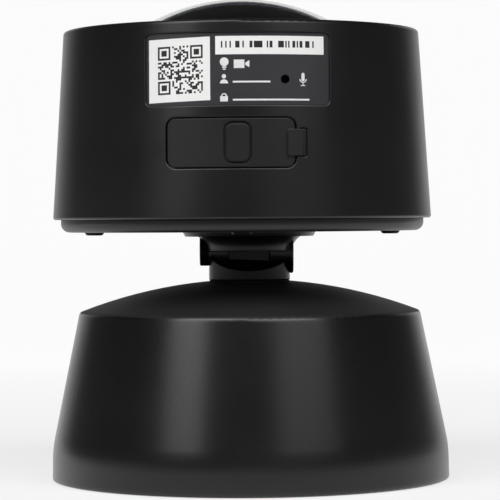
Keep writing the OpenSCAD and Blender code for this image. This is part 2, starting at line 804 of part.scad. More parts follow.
module yoke() {
    lip = 0.4;
    color("#18181a") difference() {
        union() {
            rotate_extrude() neck_profile();
            along_x(-ear_left, 0, hinge_z) cylinder(d1 = barrel_left_d, d2 = 2 * barrel_r(ear_right - lip),
                h = ear_left + ear_right - lip);
            along_x(ear_right - lip, 0, hinge_z)
                cylinder(r1 = barrel_r(ear_right - lip), r2 = barrel_r(ear_right) - lip, h = lip);
        }
        // Slot between the ears
        along_x(-slot_half, 0, hinge_z) linear_extrude(2 * slot_half) tongue_room();
        // Flat for the screw's head on the left, pocket for the nut on the right
        along_x(-ear_left - flare_d, 0, hinge_z) cylinder(d = hinge_head_d + 2 * fit_gap, h = flare_d);
        along_x(ear_right - hinge_nut_h - fit_gap, 0, hinge_z)
            cylinder(d = (hinge_nut_af + 2 * fit_gap) / cos(30), h = flare_d, $fn = 6);
        along_x(-flare_d, 0, hinge_z) cylinder(d = hinge_d + 2 * run_gap, h = 2 * flare_d);
        translate([0, 0, hinge_z]) cylinder(d = lead_bore_d + 2 * lead_room, h = spigot_top);
    }
}

module hinge_screw() {
    color("#2c2c2f") translate([-ear_left, 0, hinge_z]) rotate([0, -90, 0])
        pan_screw(hinge_d, hinge_head_d, hinge_head_h, ear_left + ear_right - fit_gap, hinge_head_edge);
}

module hinge_nut() {
    color("#8f9296") along_x(ear_right - hinge_nut_h, 0, hinge_z) difference() {
        cylinder(d = hinge_nut_af / cos(30), h = hinge_nut_h, $fn = 6);
        translate([0, 0, -over]) cylinder(d = hinge_d + 2 * run_gap, h = hinge_nut_h + 2 * over);
    }
}

module ring_nut() {
    outer = spigot_d / 2 + ring_nut_wall;
    color("#9a9da1") translate([0, 0, cover_z + cover_t]) difference() {
        cylinder(r = outer, h = ring_nut_h);
        translate([0, 0, -over]) cylinder(d = spigot_d + 2 * fit_gap, h = ring_nut_h + 2 * over);
        for (i = [1:ring_notches]) rotate([0, 0, 360 * i / ring_notches])
            translate([outer - ring_notch_deep, -ring_notch_w / 2, -over])
                cube([ring_notch_deep + over, ring_notch_w, ring_nut_h + 2 * over]);
    }
}

// Places of the four cover screws
module at_cover_screw(i) {
    rotate([0, 0, 90 * i]) translate([cover_screw_circle / 2, 0, 0]) children();
}

module rear_cover() {
    lip_in = cover_lip_r - cover_lip_w;
    lip_top = drum_z + cover_spigot_h;
    color("#1d1d20") difference() {
        union() {
            in_head() rotate_extrude() difference() {
                rounded([[0, cover_z], [cover_d / 2, cover_z, cover_round], [cover_d / 2, drum_z],
                    [cover_lip_r, drum_z], [cover_lip_r, lip_top, cover_lip_edge], [lip_in, lip_top],
                    [lip_in, cover_z + cover_t], [0, cover_z + cover_t]]);
                translate([cover_lip_r - cover_groove, cover_seal_z - cover_seal_h / 2 - fit_gap])
                    square([cover_groove + over, cover_seal_h + 2 * fit_gap]);
            }
            in_head() for (i = cover_screws) rotate([0, 0, 90 * i + 45])
                translate([post_ring_r, 0, cover_z + cover_t / 2])
                    cylinder(d = board_post_d, h = board_z - cover_z - cover_t / 2);
        }
        translate([0, 0, cover_z - over]) cylinder(d = spigot_d + 2 * fit_gap, h = cover_t + 2 * over);
        in_head() for (i = cover_screws) at_cover_screw(i) {
            translate([0, 0, cover_z - over])
                cylinder(d = cover_screw_d + 2 * fit_gap, h = cover_t + 2 * over);
            translate([0, 0, cover_z - over])
                cylinder(d = cover_head_d + 2 * fit_gap, h = over + cover_head_h - cover_head_out);
        }
    }
}

module cover_seal() {
    outer = bore_r(cover_seal_z + cover_seal_h) - run_gap;
    color("#2b2b2e") in_head()
        ring(cover_lip_r - cover_groove, outer, cover_seal_z - cover_seal_h / 2, cover_seal_h);
}

module cover_screw(i) {
    under_head = cover_z + cover_head_h - cover_head_out;
    color("#26262a") in_head() at_cover_screw(i) translate([0, 0, under_head]) rotate([180, 0, 0])
        pan_screw(cover_screw_d, cover_head_d, cover_head_h, cover_screw_end - under_head,
            cover_head_h * head_edge);
}

module drum_profile() {
    shelf_low = sink_z - shelf_t;
    gusset = shelf_low - shelf_w;
    rounded([[drum_r(drum_z) - drum_edge, drum_z], [drum_r(drum_z + drum_edge), drum_z + drum_edge],
        [drum_r(rim_z), rim_z, rim_round],
        [bezel_r + fit_gap, rim_z], [bezel_r + fit_gap, bezel_z], [bore_r(bezel_z), bezel_z],
        [bore_r(sink_z), sink_z], [shelf_r, sink_z],
        [shelf_r, shelf_low], [bore_r(gusset), gusset], [bore_r(drum_z), drum_z]]);
}

// Columns for the cover screws, each on a web that starts above the cover's spigot
module drum_columns() {
    web_z = drum_z + cover_spigot_h + side_gap;
    for (i = cover_screws) at_cover_screw(i) {
        translate([0, 0, cover_z + cover_t]) cylinder(r = column_r, h = column_top - cover_z - cover_t);
        translate([0, -web_t / 2, web_z])
            cube([bore_r(column_top) + drum_wall / 2 - cover_screw_circle / 2, web_t, column_top - web_z]);
    }
}

// The box behind the port, before its opening is cut
module port_box() {
    intersection() {
        through_y(plug_x, plug_z, -drum_rear_d, port_back)
            rounded_rect(plug_w + 2 * plug_room + 2 * port_wall, plug_h + 2 * plug_room + 2 * port_wall,
                plug_round + plug_room + port_wall);
        inside_wall();
    }
}

module port_cuts() {
    // Seat of the plug's face, and the opening that its skirt enters
    skin(plug_x, plug_z, plug_t + side_gap, over)
        rounded_rect(plug_w + 2 * plug_room, plug_h + 2 * plug_room, plug_round + plug_room);
    through_y(plug_x, plug_z, -drum_rear_d, port_y) rounded_rect(port_w, port_h, plug_round);
    // Card slot and button hole in the floor
    through_y(card_x, card_z, port_y - over, port_back + over)
        square([card_w + 2 * side_gap, card_t + 2 * side_gap], center = true);
    through_y(reset_at, card_z, port_y - over, port_back + over) circle(d = reset_d + 2 * run_gap);
    // Seat of the tether
    tether_seat();
}

module tether_seat() {
    through_y(bead_x, plug_z, -drum_rear_d, tether_floor)
        square([bead_d + 2 * fit_gap, tab_h + 2 * side_gap], center = true);
}

module drum() {
    color("#1e1e22") in_head() difference() {
        union() {
            rotate_extrude() drum_profile();
            drum_columns();
            port_box();
            intersection() {
                through_y(mic_at[0], mic_at[1], -drum_rear_d, mic_seat_y + mic_l) circle(d = mic_boss_d);
                inside_wall();
            }
        }
        skin(label_x, label_z, label_deep, over) rounded_rect(label_w, label_h, label_round);
        port_cuts();
        through_y(mic_at[0], mic_at[1], -drum_rear_d, mic_seat_y + over) circle(d = mic_hole_d);
        through_y(mic_at[0], mic_at[1], mic_seat_y, mic_seat_y + mic_l + over)
            circle(d = mic_d + 2 * fit_gap);
        for (i = cover_screws) at_cover_screw(i) translate([0, 0, cover_z])
            cylinder(d = cover_screw_d + 2 * fit_gap, h = cover_screw_end - cover_z + over);
    }
}

module main_board() {
    color("#1f5a3c") in_head() translate([0, 0, board_z]) cylinder(r = main_board_r, h = board_t);
}

module heat_sink() {
    fin_r = shelf_r - side_gap;
    pitch = 2 * fin_r / fin_count;
    color("#c2c4c8") in_head() difference() {
        union() {
            translate([0, 0, sink_z]) cylinder(r = sink_r, h = sink_t);
            intersection() {
                translate([0, 0, sink_z - fin_h]) cylinder(r = fin_r, h = fin_h + sink_t / 2);
                for (i = [0:fin_count - 1])
                    translate([(i - (fin_count - 1) / 2) * pitch - fin_t / 2, -fin_r, sink_z - fin_h])
                        cube([fin_t, 2 * fin_r, fin_h + sink_t / 2]);
            }
        }
        mic_room();
    }
}

module led_board() {
    color("#e9e9e4") in_head() difference() {
        ring(board_in, sink_r - side_gap, led_board_z, board_t);
        mic_room();
    }
}

module at_lamp(i) {
    rotate([0, 0, 360 * (i - 0.5) / lamp_count]) translate([lamp_ring_r, 0, 0]) children();
}

module lamp(i) {
    color("#f2d860") in_head() at_lamp(i) translate([-lamp_w / 2, -lamp_w / 2, reflector_z])
        cube([lamp_w, lamp_w, lamp_h]);
}

module reflector() {
    color("#dcdde0") in_head() difference() {
        ring(shroud_in, window_r - side_gap, reflector_z, reflector_h);
        for (i = lamps) at_lamp(i) translate([0, 0, reflector_z - sliver])
            cylinder(d1 = cup_floor_d, d2 = cup_d, h = reflector_h + 2 * sliver);
        mic_room();
    }
}

module light_window() {
    color("#e8eef2", 0.5) in_head() ring(window_in, window_r, window_z, window_t);
}

module window_seal() {
    color("#29292c") in_head() ring(bezel_r - bezel_w + side_gap, window_r, window_top, window_seal_t);
}

module bezel() {
    color("#1b1b1e") in_head() rotate_extrude() rounded([
        [bezel_r - bezel_w, bezel_z], [bezel_r, bezel_z], [bezel_r, rim_z - bezel_drop],
        [bezel_r - bezel_w, rim_z - bezel_drop, bezel_round]]);
}

// A dome's half section: its skirt, its cap and the hollow under it
module dome_section(r, skirt_r, wall, z) {
    difference() {
        intersection() {
            translate([0, dome_o]) circle(r);
            translate([0, z]) square([skirt_r, dome_o + r - z + over]);
        }
        intersection() {
            translate([0, dome_o]) circle(r - wall);
            translate([-over, z - over]) square([skirt_r - wall + over, dome_o + r - z]);
        }
    }
}

module dome_cover() {
    flange_low = window_z + shroud_flange_t;
    color("#3a3d42", 0.4) in_head() rotate_extrude() {
        dome_section(dome_r, dome_skirt_r, dome_wall, flange_low);
        translate([dome_skirt_r - dome_wall, flange_low])
            square([dome_flange_w + dome_wall, window_top - flange_low]);
    }
}

module dome_retainer() {
    color("#17171a") in_head() rotate_extrude() rounded([
        [retainer_in, window_top], [retainer_r, window_top],
        [retainer_r, window_top + retainer_h, retainer_round],
        [retainer_in, window_top + retainer_h, retainer_edge]]);
}

module lens_shroud() {
    hole = shroud_hole_d / 2;
    color("#0f0f11") in_head() difference() {
        rotate_extrude() {
            dome_section(shroud_r, shroud_skirt_r, shroud_wall, window_z);
            translate([shroud_in, window_z]) square([dome_flange_r - shroud_in, shroud_flange_t]);
        }
        translate([0, 0, window_z]) cylinder(r = hole, h = dome_r);
    }
}

module sensor_board() {
    color("#1d4f73") in_head() translate([-sensor_w / 2, -sensor_w / 2, led_board_z])
        cube([sensor_w, sensor_w, board_t]);
}

module lens_barrel() {
    color("#141416") in_head() rotate_extrude() rounded([
        [0, holder_z], [holder_d / 2, holder_z], [holder_d / 2, holder_z + holder_h, holder_round],
        [barrel_d / 2, holder_z + holder_h], [barrel_d / 2, lens_top, lens_edge],
        [lens_d / 2 + fit_gap, lens_top], [lens_d / 2 + fit_gap, lens_low], [0, lens_low]]);
}

module front_lens() {
    bulge = 1;
    curve = (pow(lens_d / 2, 2) + bulge * bulge) / (2 * bulge);
    color("#25304a") in_head() intersection() {
        translate([0, 0, lens_low]) cylinder(d = lens_d, h = lens_t + 2 * bulge);
        translate([0, 0, lens_low + lens_t + bulge - curve]) sphere(curve);
    }
}

module label_panel() {
    color("#2b2b2f") in_head() difference() {
        skin(label_x, label_z, label_deep, label_t - label_deep)
            rounded_rect(label_w - 2 * fit_gap, label_h - 2 * fit_gap, label_round - fit_gap);
        through_y(mic_at[0], mic_at[1], -drum_rear_d, 0) circle(d = mic_hole_d);
    }
}

module microphone() {
    color("#b4b6ba") in_head()
        through_y(mic_at[0], mic_at[1], mic_seat_y, mic_seat_y + mic_l) circle(d = mic_d);
}

module card_socket() {
    back = port_y - card_out + card_l + card_stroke + side_gap;
    color("#c7c9cc") in_head() difference() {
        through_y(card_x, card_z, port_back, back + socket_lip)
            square([card_w + 2 * side_gap + 2 * socket_lip, card_t + 2 * socket_lip], center = true);
        through_y(card_x, card_z, port_back - over, back)
            square([card_w + 2 * side_gap, card_t + 2 * side_gap], center = true);
    }
}

module reset_switch() {
    front = port_back + collar_t + reset_stroke + side_gap;
    top = card_z + reset_d / 2 + collar_w;
    color("#3a3a3e") in_head() translate([reset_at - switch_w / 2, front, board_z + board_t])
        cube([switch_w, switch_l, top - board_z - board_t]);
}

module reset_button() {
    color("#d8d8d4") in_head() {
        through_y(reset_at, card_z, port_y - reset_out, port_back + collar_t / 2) circle(d = reset_d);
        through_y(reset_at, card_z, port_back + run_gap, port_back + collar_t)
            circle(d = reset_d + 2 * collar_w);
    }
}

module memory_card() {
    front = port_y - card_out;
    color("#101012") in_head() difference() {
        through_y(card_x, card_z, front, front + card_l) square([card_w, card_t], center = true);
        translate([card_x + card_w / 2 - card_notch, front + card_l * card_notch_at, card_z - card_t])
            cube([card_notch + over, card_l, 2 * card_t]);
    }
}

// A saddle in the drum's wall, behind the bead of the tether
module tether_anchor() {
    color("#18181b") in_head() difference() {
        through_y(bead_x, plug_z, bead_at[1], tether_floor) square([bead_d, tab_h], center = true);
        translate([bead_x, bead_at[1], plug_z - tab_h])
            cylinder(d = bead_d + 2 * run_gap, h = 2 * tab_h);
    }
}

module port_plug() {
    tab_w = bead_x - bead_d / 8 - plug_right + tab_in;
    tab_mid = plug_right - tab_in + tab_w / 2;
    color("#19191c") in_head() {
        difference() {
            union() {
                skin(plug_x, plug_z, plug_t, 0) rounded_rect(plug_w, plug_h, plug_round);
                skin(grip_x, plug_z, plug_t / 2, groove_deep) rounded_rect(grip_w, grip_h, grip_round);
                skin(plug_right - tab_in / 2, plug_z, plug_t / 2, tab_rise)
                    rounded_rect(tab_in, tab_h, tab_round);
                // The strap to the bead, clear of the drum's skin
                skin(tab_mid, plug_z, -side_gap, tab_rise) {
                    rounded_rect(tab_w, tab_h, tab_round);
                    translate([tab_w / 4, 0]) square([tab_w / 2, tab_h], center = true);
                }
            }
            skin(grip_x, plug_z, groove_deep, over) difference() {
                rounded_rect(grip_w + 2 * groove_w, grip_h + 2 * groove_w, grip_round + groove_w);
                rounded_rect(grip_w, grip_h, grip_round);
            }
        }
        plug_skirt();
        plug_bead();
    }
}

// The skirt that enters the port, open in its middle
module plug_skirt() {
    w = plug_w - 2 * skirt_in;
    h = plug_h - 2 * skirt_in;
    difference() {
        through_y(plug_x, plug_z, -drum_r(drum_z), port_y - side_gap) difference() {
            rounded_rect(w, h, plug_round);
            rounded_rect(w - 2 * skirt_t, h - 2 * skirt_t, plug_round - skirt_t / 2);
        }
        outside_drum(plug_t / 2);
    }
}

// The bead at the end of the tab, which turns in the tether's saddle
module plug_bead() {
    translate([bead_x, bead_at[1], plug_z - tab_h / 2]) cylinder(d = bead_d, h = tab_h);
}

canopy();
wall_gasket();
crossbar();
for (i = [1:2]) side_screw(i);
earth_screw();
swivel_seal();
swivel_post();
stop_washer();
swivel_nut();
lead_grommet();
yoke();
hinge_screw();
hinge_nut();
ring_nut();
rear_cover();
cover_seal();
for (i = cover_screws) cover_screw(i);
drum();
main_board();
heat_sink();
led_board();
for (i = lamps) lamp(i);
reflector();
light_window();
window_seal();
bezel();
dome_cover();
dome_retainer();
lens_shroud();
sensor_board();
lens_barrel();
front_lens();
label_panel();
microphone();
card_socket();
reset_switch();
tether_anchor();
port_plug();
memory_card();
reset_button();
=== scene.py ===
import json
import math
import random
import bmesh
import bpy
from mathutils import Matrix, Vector


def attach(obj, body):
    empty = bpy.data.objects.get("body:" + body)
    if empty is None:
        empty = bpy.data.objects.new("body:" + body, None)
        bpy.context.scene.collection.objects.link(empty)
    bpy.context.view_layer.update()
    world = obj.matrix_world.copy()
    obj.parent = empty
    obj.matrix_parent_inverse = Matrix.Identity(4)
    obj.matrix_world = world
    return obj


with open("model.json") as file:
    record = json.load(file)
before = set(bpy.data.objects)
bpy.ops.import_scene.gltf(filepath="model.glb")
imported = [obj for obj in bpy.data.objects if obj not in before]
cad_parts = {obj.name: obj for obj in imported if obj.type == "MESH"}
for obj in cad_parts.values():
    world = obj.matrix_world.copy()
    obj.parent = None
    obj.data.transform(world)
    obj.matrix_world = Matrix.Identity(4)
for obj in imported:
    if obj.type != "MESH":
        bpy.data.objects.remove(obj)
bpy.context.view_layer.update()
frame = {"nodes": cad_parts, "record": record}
nodes = frame["nodes"]
scene = bpy.context.scene
print("frame:", len(nodes), "solids")


def metres(millimetres):
    return millimetres / 1000


def standAt(thing, at, aim):  # links a camera or a lamp and turns it to what it is aimed at
    scene.collection.objects.link(thing)
    thing.location = at
    thing.rotation_euler = (Vector(aim) - Vector(at)).to_track_quat("-Z", "Y").to_euler()


# camera first: level with the gap under the drum, a long lens, a hair of roll
# places and near limit in metres, lens and sensor in millimetres, roll in degrees
shot = dict(at=(0.0002, -0.773, 0.0788), aim=(0.0002, 0.0, 0.0688), near=0.01,
            lens=183.6, sensor=36, roll=0.42)


def placeCamera():
    data = bpy.data.cameras.new("photoCamera")
    data.lens = shot["lens"]
    data.sensor_width = shot["sensor"]
    data.clip_start = shot["near"]
    camera = bpy.data.objects.new("photoCamera", data)
    standAt(camera, shot["at"], shot["aim"])
    camera.rotation_euler.rotate_axis("Z", math.radians(-shot["roll"]))
    scene.camera = camera


placeCamera()
scene.view_settings.view_transform = "Standard"
print("camera placed")


def linear(code):  # sRGB hex to the linear colour that the shader takes
    parts = [int(code[i:i + 2], 16) / 255 for i in (1, 3, 5)]
    return (*[c / 12.92 if c <= 0.04045 else ((c + 0.055) / 1.055) ** 2.4 for c in parts], 1.0)


# a node, its sockets or attributes, and what feeds it; sockets 6 and 7 of a colour mix are its two colours
def addNode(tree, kind, settings=None, links=None):
    node = tree.nodes.new(kind)
    for key, value in (settings or {}).items():
        if isinstance(key, int) or key in node.inputs:
            node.inputs[key].default_value = value
        else:
            setattr(node, key, value)
    for key, socket in (links or {}).items():
        tree.links.new(socket, node.inputs[key])
    return node


def perMetre(millimetres):  # texture scale that repeats about every so many millimetres
    return 1000 / millimetres


def newMaterial(name):
    material = bpy.data.materials.new(name)
    material.use_nodes = True
    tree = material.node_tree
    tree.nodes.clear()
    where = addNode(tree, "ShaderNodeTexCoord").outputs["Object"]
    return material, tree, where


def closeMaterial(tree, shader):
    addNode(tree, "ShaderNodeOutputMaterial", links={"Surface": shader.outputs[0]})


# low and high: the part of the noise that counts; depth: how deep a grain is for its width
grain = dict(low=0.3, high=0.7, depth=0.25)


def patchyLook(tree, where, s, detail):  # one noise blends the two colours and sways the roughness
    patches = addNode(tree, "ShaderNodeTexNoise", {"Scale": perMetre(s["patchMm"]), "Detail": detail},
                      {"Vector": where})
    colour = addNode(tree, "ShaderNodeMix",
                     {"data_type": "RGBA", 6: linear(s["dark"]), 7: linear(s["light"])},
                     {0: patches.outputs[0]})
    gloss = addNode(tree, "ShaderNodeMapRange",
                    {"From Min": grain["low"], "From Max": grain["high"],
                     "To Min": s["rough"] - s["vary"], "To Max": s["rough"] + s["vary"]},
                    {"Value": patches.outputs[0]})
    return colour.outputs[2], gloss.outputs[0]


def grainRelief(tree, where, s, detail, under=None):  # the fine skin, on top of what lies under it
    skin = addNode(tree, "ShaderNodeTexNoise", {"Scale": perMetre(s["grainMm"]), "Detail": detail},
                   {"Vector": where})
    return addNode(tree, "ShaderNodeBump",
                   {"Strength": s["relief"], "Distance": metres(s["grainMm"] * grain["depth"])},
                   {"Height": skin.outputs[0], **(under or {})}).outputs[0]


# plastics, rubbers, paint, paper and ink: a nearly even colour, a fine grain that softens the gloss,
# patches where handling has polished it a little, and edges as round as the tool leaves them
grained = dict(patchDetail=3.0, grainDetail=2.0, edgeSamples=8, sideUp=0.5, topUp=0.85)


def grainedSurface(name, s):
    material, tree, where = newMaterial(name)
    colour, rough = patchyLook(tree, where, s, grained["patchDetail"])
    if "topMatt" in s:  # faces that look up come coarser out of the mould
        facing = addNode(tree, "ShaderNodeSeparateXYZ", links={0: where.node.outputs["Normal"]})
        matt = addNode(tree, "ShaderNodeMapRange",
                       {"From Min": grained["sideUp"], "From Max": grained["topUp"], "To Max": s["topMatt"]},
                       {"Value": facing.outputs[2]})
        rough = addNode(tree, "ShaderNodeMath", {"operation": "ADD"}, {0: rough, 1: matt.outputs[0]}).outputs[0]
    edges = addNode(tree, "ShaderNodeBevel",
                    {"samples": grained["edgeSamples"], "Radius": metres(s["edgeMm"])})
    relief = grainRelief(tree, where, s, grained["grainDetail"], {"Normal": edges.outputs[0]})
    shader = addNode(tree, "ShaderNodeBsdfPrincipled", {"IOR": s["ior"]},
                     {"Base Color": colour, "Roughness": rough, "Normal": relief})
    closeMaterial(tree, shader)
    return material


# plated, blackened or cast metals: cloudy patches and a fine skin break the reflection
metal = dict(patchDetail=4.0, grainDetail=3.0)


def metalSurface(name, s):
    material, tree, where = newMaterial(name)
    colour, rough = patchyLook(tree, where, s, metal["patchDetail"])
    relief = grainRelief(tree, where, s, metal["grainDetail"])
    shader = addNode(tree, "ShaderNodeBsdfPrincipled", {"Metallic": 1.0},
                     {"Base Color": colour, "Roughness": rough, "Normal": relief})
    closeMaterial(tree, shader)
    return material


# polished polycarbonate and glass: bright edge reflections and the faintest haze
clear = dict(hazeDetail=2.0)


def clearSurface(name, s):
    material, tree, where = newMaterial(name)
    haze = addNode(tree, "ShaderNodeTexNoise",
                   {"Scale": perMetre(s["hazeMm"]), "Detail": clear["hazeDetail"]}, {"Vector": where})
    gloss = addNode(tree, "ShaderNodeMapRange", {"To Min": s["rough"], "To Max": s["rough"] + s["haze"]},
                    {"Value": haze.outputs[0]})
    shader = addNode(tree, "ShaderNodeBsdfPrincipled",
                     {"Base Color": linear(s["tint"]), "IOR": s["ior"], "Transmission Weight": 1.0},
                     {"Roughness": gloss.outputs[0]})
    closeMaterial(tree, shader)
    return material


# patchMm is the width of a patch, edgeMm the round of an edge, vary how far the roughness sways
# the grain is really about 0.15 mm and is drawn at 0.3 to 0.9 mm, or the render would not show it
grainedLooks = {
    # ABS from a spark-eroded mould: black, a soft sheen down the sides, the crown matt
    "erodedAbsCanopy": dict(dark="#0c0c0d", light="#0f0f11", rough=0.27, vary=0.03, patchMm=35,
                            grainMm=0.6, relief=0.10, ior=1.54, edgeMm=1.5, topMatt=0.40),
    # the same ABS, a little coarser: light spreads in broad soft bands
    "erodedAbsDrum": dict(dark="#0d0d0f", light="#111113", rough=0.32, vary=0.03, patchMm=30,
                          grainMm=0.6, relief=0.12, ior=1.54, edgeMm=0.5),
    # ABS from a coarser mould: a dull dark grey that hardly shines
    "coarseAbsCover": dict(dark="#101012", light="#151517", rough=0.40, vary=0.03, patchMm=25,
                           grainMm=0.6, relief=0.14, ior=1.54, edgeMm=0.5),
    # polycarbonate from a polished mould: an even, brighter gloss
    "polishedPolycarbonateBezel": dict(dark="#111113", light="#141416", rough=0.28, vary=0.03, patchMm=20,
                                       grainMm=0.6, relief=0.05, ior=1.58, edgeMm=0.5),
    # ABS moulded matt: swallows stray light around the lens
    "mattAbsShroud": dict(dark="#0e0e10", light="#111113", rough=0.60, vary=0.03, patchMm=18,
                          grainMm=0.6, relief=0.12, ior=1.54, edgeMm=0.3),
    # moulded nylon: dark grey and a little waxy
    "mouldedNylonNut": dict(dark="#2c2c2f", light="#333337", rough=0.50, vary=0.04, patchMm=12,
                            grainMm=0.5, relief=0.12, ior=1.53, edgeMm=0.4),
    # white lacquer on a moulding: pale, with a wet shine
    "lacqueredReflector": dict(dark="#d9dadd", light="#e6e7ea", rough=0.20, vary=0.03, patchMm=15,
                               grainMm=0.8, relief=0.04, ior=1.50, edgeMm=0.2),
    # moulded silicone: a soft black with a greasy sheen
    "mouldedSiliconePlug": dict(dark="#101012", light="#151517", rough=0.48, vary=0.04, patchMm=9,
                                grainMm=0.5, relief=0.16, ior=1.43, edgeMm=0.4),
    # die-cut rubber: flat black
    "dieCutRubberSeal": dict(dark="#121213", light="#18181a", rough=0.72, vary=0.05, patchMm=8,
                             grainMm=0.5, relief=0.20, ior=1.50, edgeMm=0.3),
    # paint sprayed on a casting: deep black under a thin gloss
    "sprayedPaintNeck": dict(dark="#070708", light="#0a0a0b", rough=0.34, vary=0.05, patchMm=10,
                             grainMm=0.7, relief=0.18, ior=1.50, edgeMm=0.5),
    # solder mask screened on glass cloth: green and glossy, a little uneven
    "screenedSolderMask": dict(dark="#12402a", light="#1a5537", rough=0.40, vary=0.06, patchMm=4,
                               grainMm=0.9, relief=0.12, ior=1.52, edgeMm=0.1),
    # white solder mask: throws the lamps' light back
    "whiteSolderMask": dict(dark="#dededa", light="#ebebe6", rough=0.45, vary=0.05, patchMm=6,
                            grainMm=0.9, relief=0.10, ior=1.52, edgeMm=0.1),
    # phosphor poured in silicone: a matt yellow dot
    "pouredPhosphor": dict(dark="#e9c23c", light="#f6da6a", rough=0.48, vary=0.05, patchMm=1.2,
                           grainMm=0.3, relief=0.10, ior=1.45, edgeMm=0.2),
    # satin polyester film: an even charcoal
    "satinPolyesterLabel": dict(dark="#28282b", light="#2e2e32", rough=0.46, vary=0.03, patchMm=14,
                                grainMm=0.5, relief=0.06, ior=1.50, edgeMm=0.05),
    # moulded ABS: a plain black card
    "mouldedAbsCard": dict(dark="#141415", light="#1a1a1b", rough=0.40, vary=0.04, patchMm=5,
                           grainMm=0.4, relief=0.08, ior=1.54, edgeMm=0.2),
    # white moulded ABS: the one pale spot in the port
    "mouldedAbsButton": dict(dark="#d2d2cd", light="#deded9", rough=0.42, vary=0.04, patchMm=3,
                             grainMm=0.4, relief=0.08, ior=1.54, edgeMm=0.3),
    # coated paper: white without gloss
    "coatedPaperSticker": dict(dark="#f4f3f1", light="#fbfaf9", rough=0.58, vary=0.04, patchMm=5,
                               grainMm=0.4, relief=0.08, ior=1.45, edgeMm=0.02),
    # the microphone's face: near black as painted shade, so that the hole in the label reads dark
    "paintedShadeMicrophoneFace": dict(dark="#050506", light="#0a0a0b", rough=0.85, vary=0.05, patchMm=1.5,
                               grainMm=0.3, relief=0.30, ior=1.50, edgeMm=0.05),
    # printed ink: flat black
    "printedBlackInk": dict(dark="#17171a", light="#1e1e21", rough=0.50, vary=0.05, patchMm=2,
                            grainMm=0.3, relief=0.08, ior=1.48, edgeMm=0.02),
    # printed ink: flat white
    "printedWhiteInk": dict(dark="#e4e4e4", light="#efefef", rough=0.50, vary=0.05, patchMm=2,
                            grainMm=0.3, relief=0.08, ior=1.48, edgeMm=0.02),
}
metalLooks = {
    # zinc-plated steel: bright and a little cloudy
    "zincPlatedSteel": dict(dark="#a9adb2", light="#c6c9cc", rough=0.34, vary=0.06, patchMm=6,
                            grainMm=0.5, relief=0.10),
    # chemically blackened steel: near black, with a dull glint of metal
    "blackenedSteel": dict(dark="#141416", light="#1c1c1f", rough=0.50, vary=0.06, patchMm=3,
                           grainMm=0.4, relief=0.12),
    # zinc plate dyed green: marks the earth screw
    "greenZincPlatedSteel": dict(dark="#2f7a45", light="#3f9156", rough=0.36, vary=0.06, patchMm=3,
                                 grainMm=0.4, relief=0.10),
    # die-cast aluminium: pale grey, with a sandy skin
    "dieCastAluminium": dict(dark="#a8abb0", light="#c0c3c7", rough=0.46, vary=0.06, patchMm=5,
                             grainMm=0.7, relief=0.20),
}
clearLooks = {
    # polished clear polycarbonate: bright edges, nothing in between
    "polishedClearPolycarbonate": dict(tint="#f4f7f7", rough=0.02, haze=0.03, hazeMm=12, ior=1.585),
    # lightly smoked polycarbonate: greys its own rim and hides the lens a little
    "polishedSmokedPolycarbonate": dict(tint="#babcbf", rough=0.01, haze=0.03, hazeMm=12, ior=1.585),
    # coated glass: a violet cast
    "coatedLensGlass": dict(tint="#8f96c8", rough=0.01, haze=0.03, hazeMm=4, ior=1.62),
}
finish = {name: grainedSurface(name, s) for name, s in grainedLooks.items()}
finish.update({name: metalSurface(name, s) for name, s in metalLooks.items()})
finish.update({name: clearSurface(name, s) for name, s in clearLooks.items()})
wears = {
    "canopy_plastic": "erodedAbsCanopy", "drum_plastic": "erodedAbsDrum",
    "cover_plastic": "coarseAbsCover", "bezel_plastic": "polishedPolycarbonateBezel",
    "shroud_plastic": "mattAbsShroud", "ring_plastic": "mouldedNylonNut",
    "reflector_plastic": "lacqueredReflector", "card_plastic": "mouldedAbsCard",
    "button_plastic": "mouldedAbsButton", "plug_rubber": "mouldedSiliconePlug",
    "gasket_rubber": "dieCutRubberSeal", "neck_metal": "sprayedPaintNeck",
    "zinc_steel": "zincPlatedSteel", "black_steel": "blackenedSteel",
    "green_steel": "greenZincPlatedSteel", "bare_aluminium": "dieCastAluminium",
    "circuit_board": "screenedSolderMask", "lamp_board": "whiteSolderMask",
    "lamp_phosphor": "pouredPhosphor", "label_film": "satinPolyesterLabel",
    "window_clear": "polishedClearPolycarbonate", "dome_clear": "polishedSmokedPolycarbonate",
    "lens_glass": "coatedLensGlass",
}
# the microphone's face is coloured near black: painted shade for the dark hole in the label
ownLook = {"microphone": "paintedShadeMicrophoneFace"}  # its face is all that shows, through the label's hole
for part in frame["record"]["subparts"]:
    look = ownLook.get(part["node"], wears[part["material_slot"]])
    for place in nodes[part["node"]].material_slots:
        place.material = finish[look]
print("finishes:", len(finish))


# the drum's skin in millimetres, which every print on the label follows
drum = dict(axisX=-2.1, rearZ=78.2644, height=56.5, rearR=57.15, frontR=53.55)


def onDrum(x, z, depth):  # x from the drum's axis, height and depth under the skin, in mm, to a point in metres
    slope = (drum["rearR"] - drum["frontR"]) / drum["height"]
    r = drum["rearR"] - slope * (z - drum["rearZ"]) - depth
    return Vector((metres(x + drum["axisX"]), -metres(math.sqrt(r * r - x * x)), metres(z)))


def newObject(name, made):  # turns a finished mesh into an object in the scene
    mesh = bpy.data.meshes.new(name)
    made.to_mesh(mesh)
    made.free()
    thing = bpy.data.objects.new(name, mesh)
    scene.collection.objects.link(thing)
    return thing


def stickOn(name, made, looks):  # a print moves with the head
    made.normal_update()
    piece = newObject(name, made)
    for look in looks:
        piece.data.materials.append(finish[look])
    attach(piece, "head")


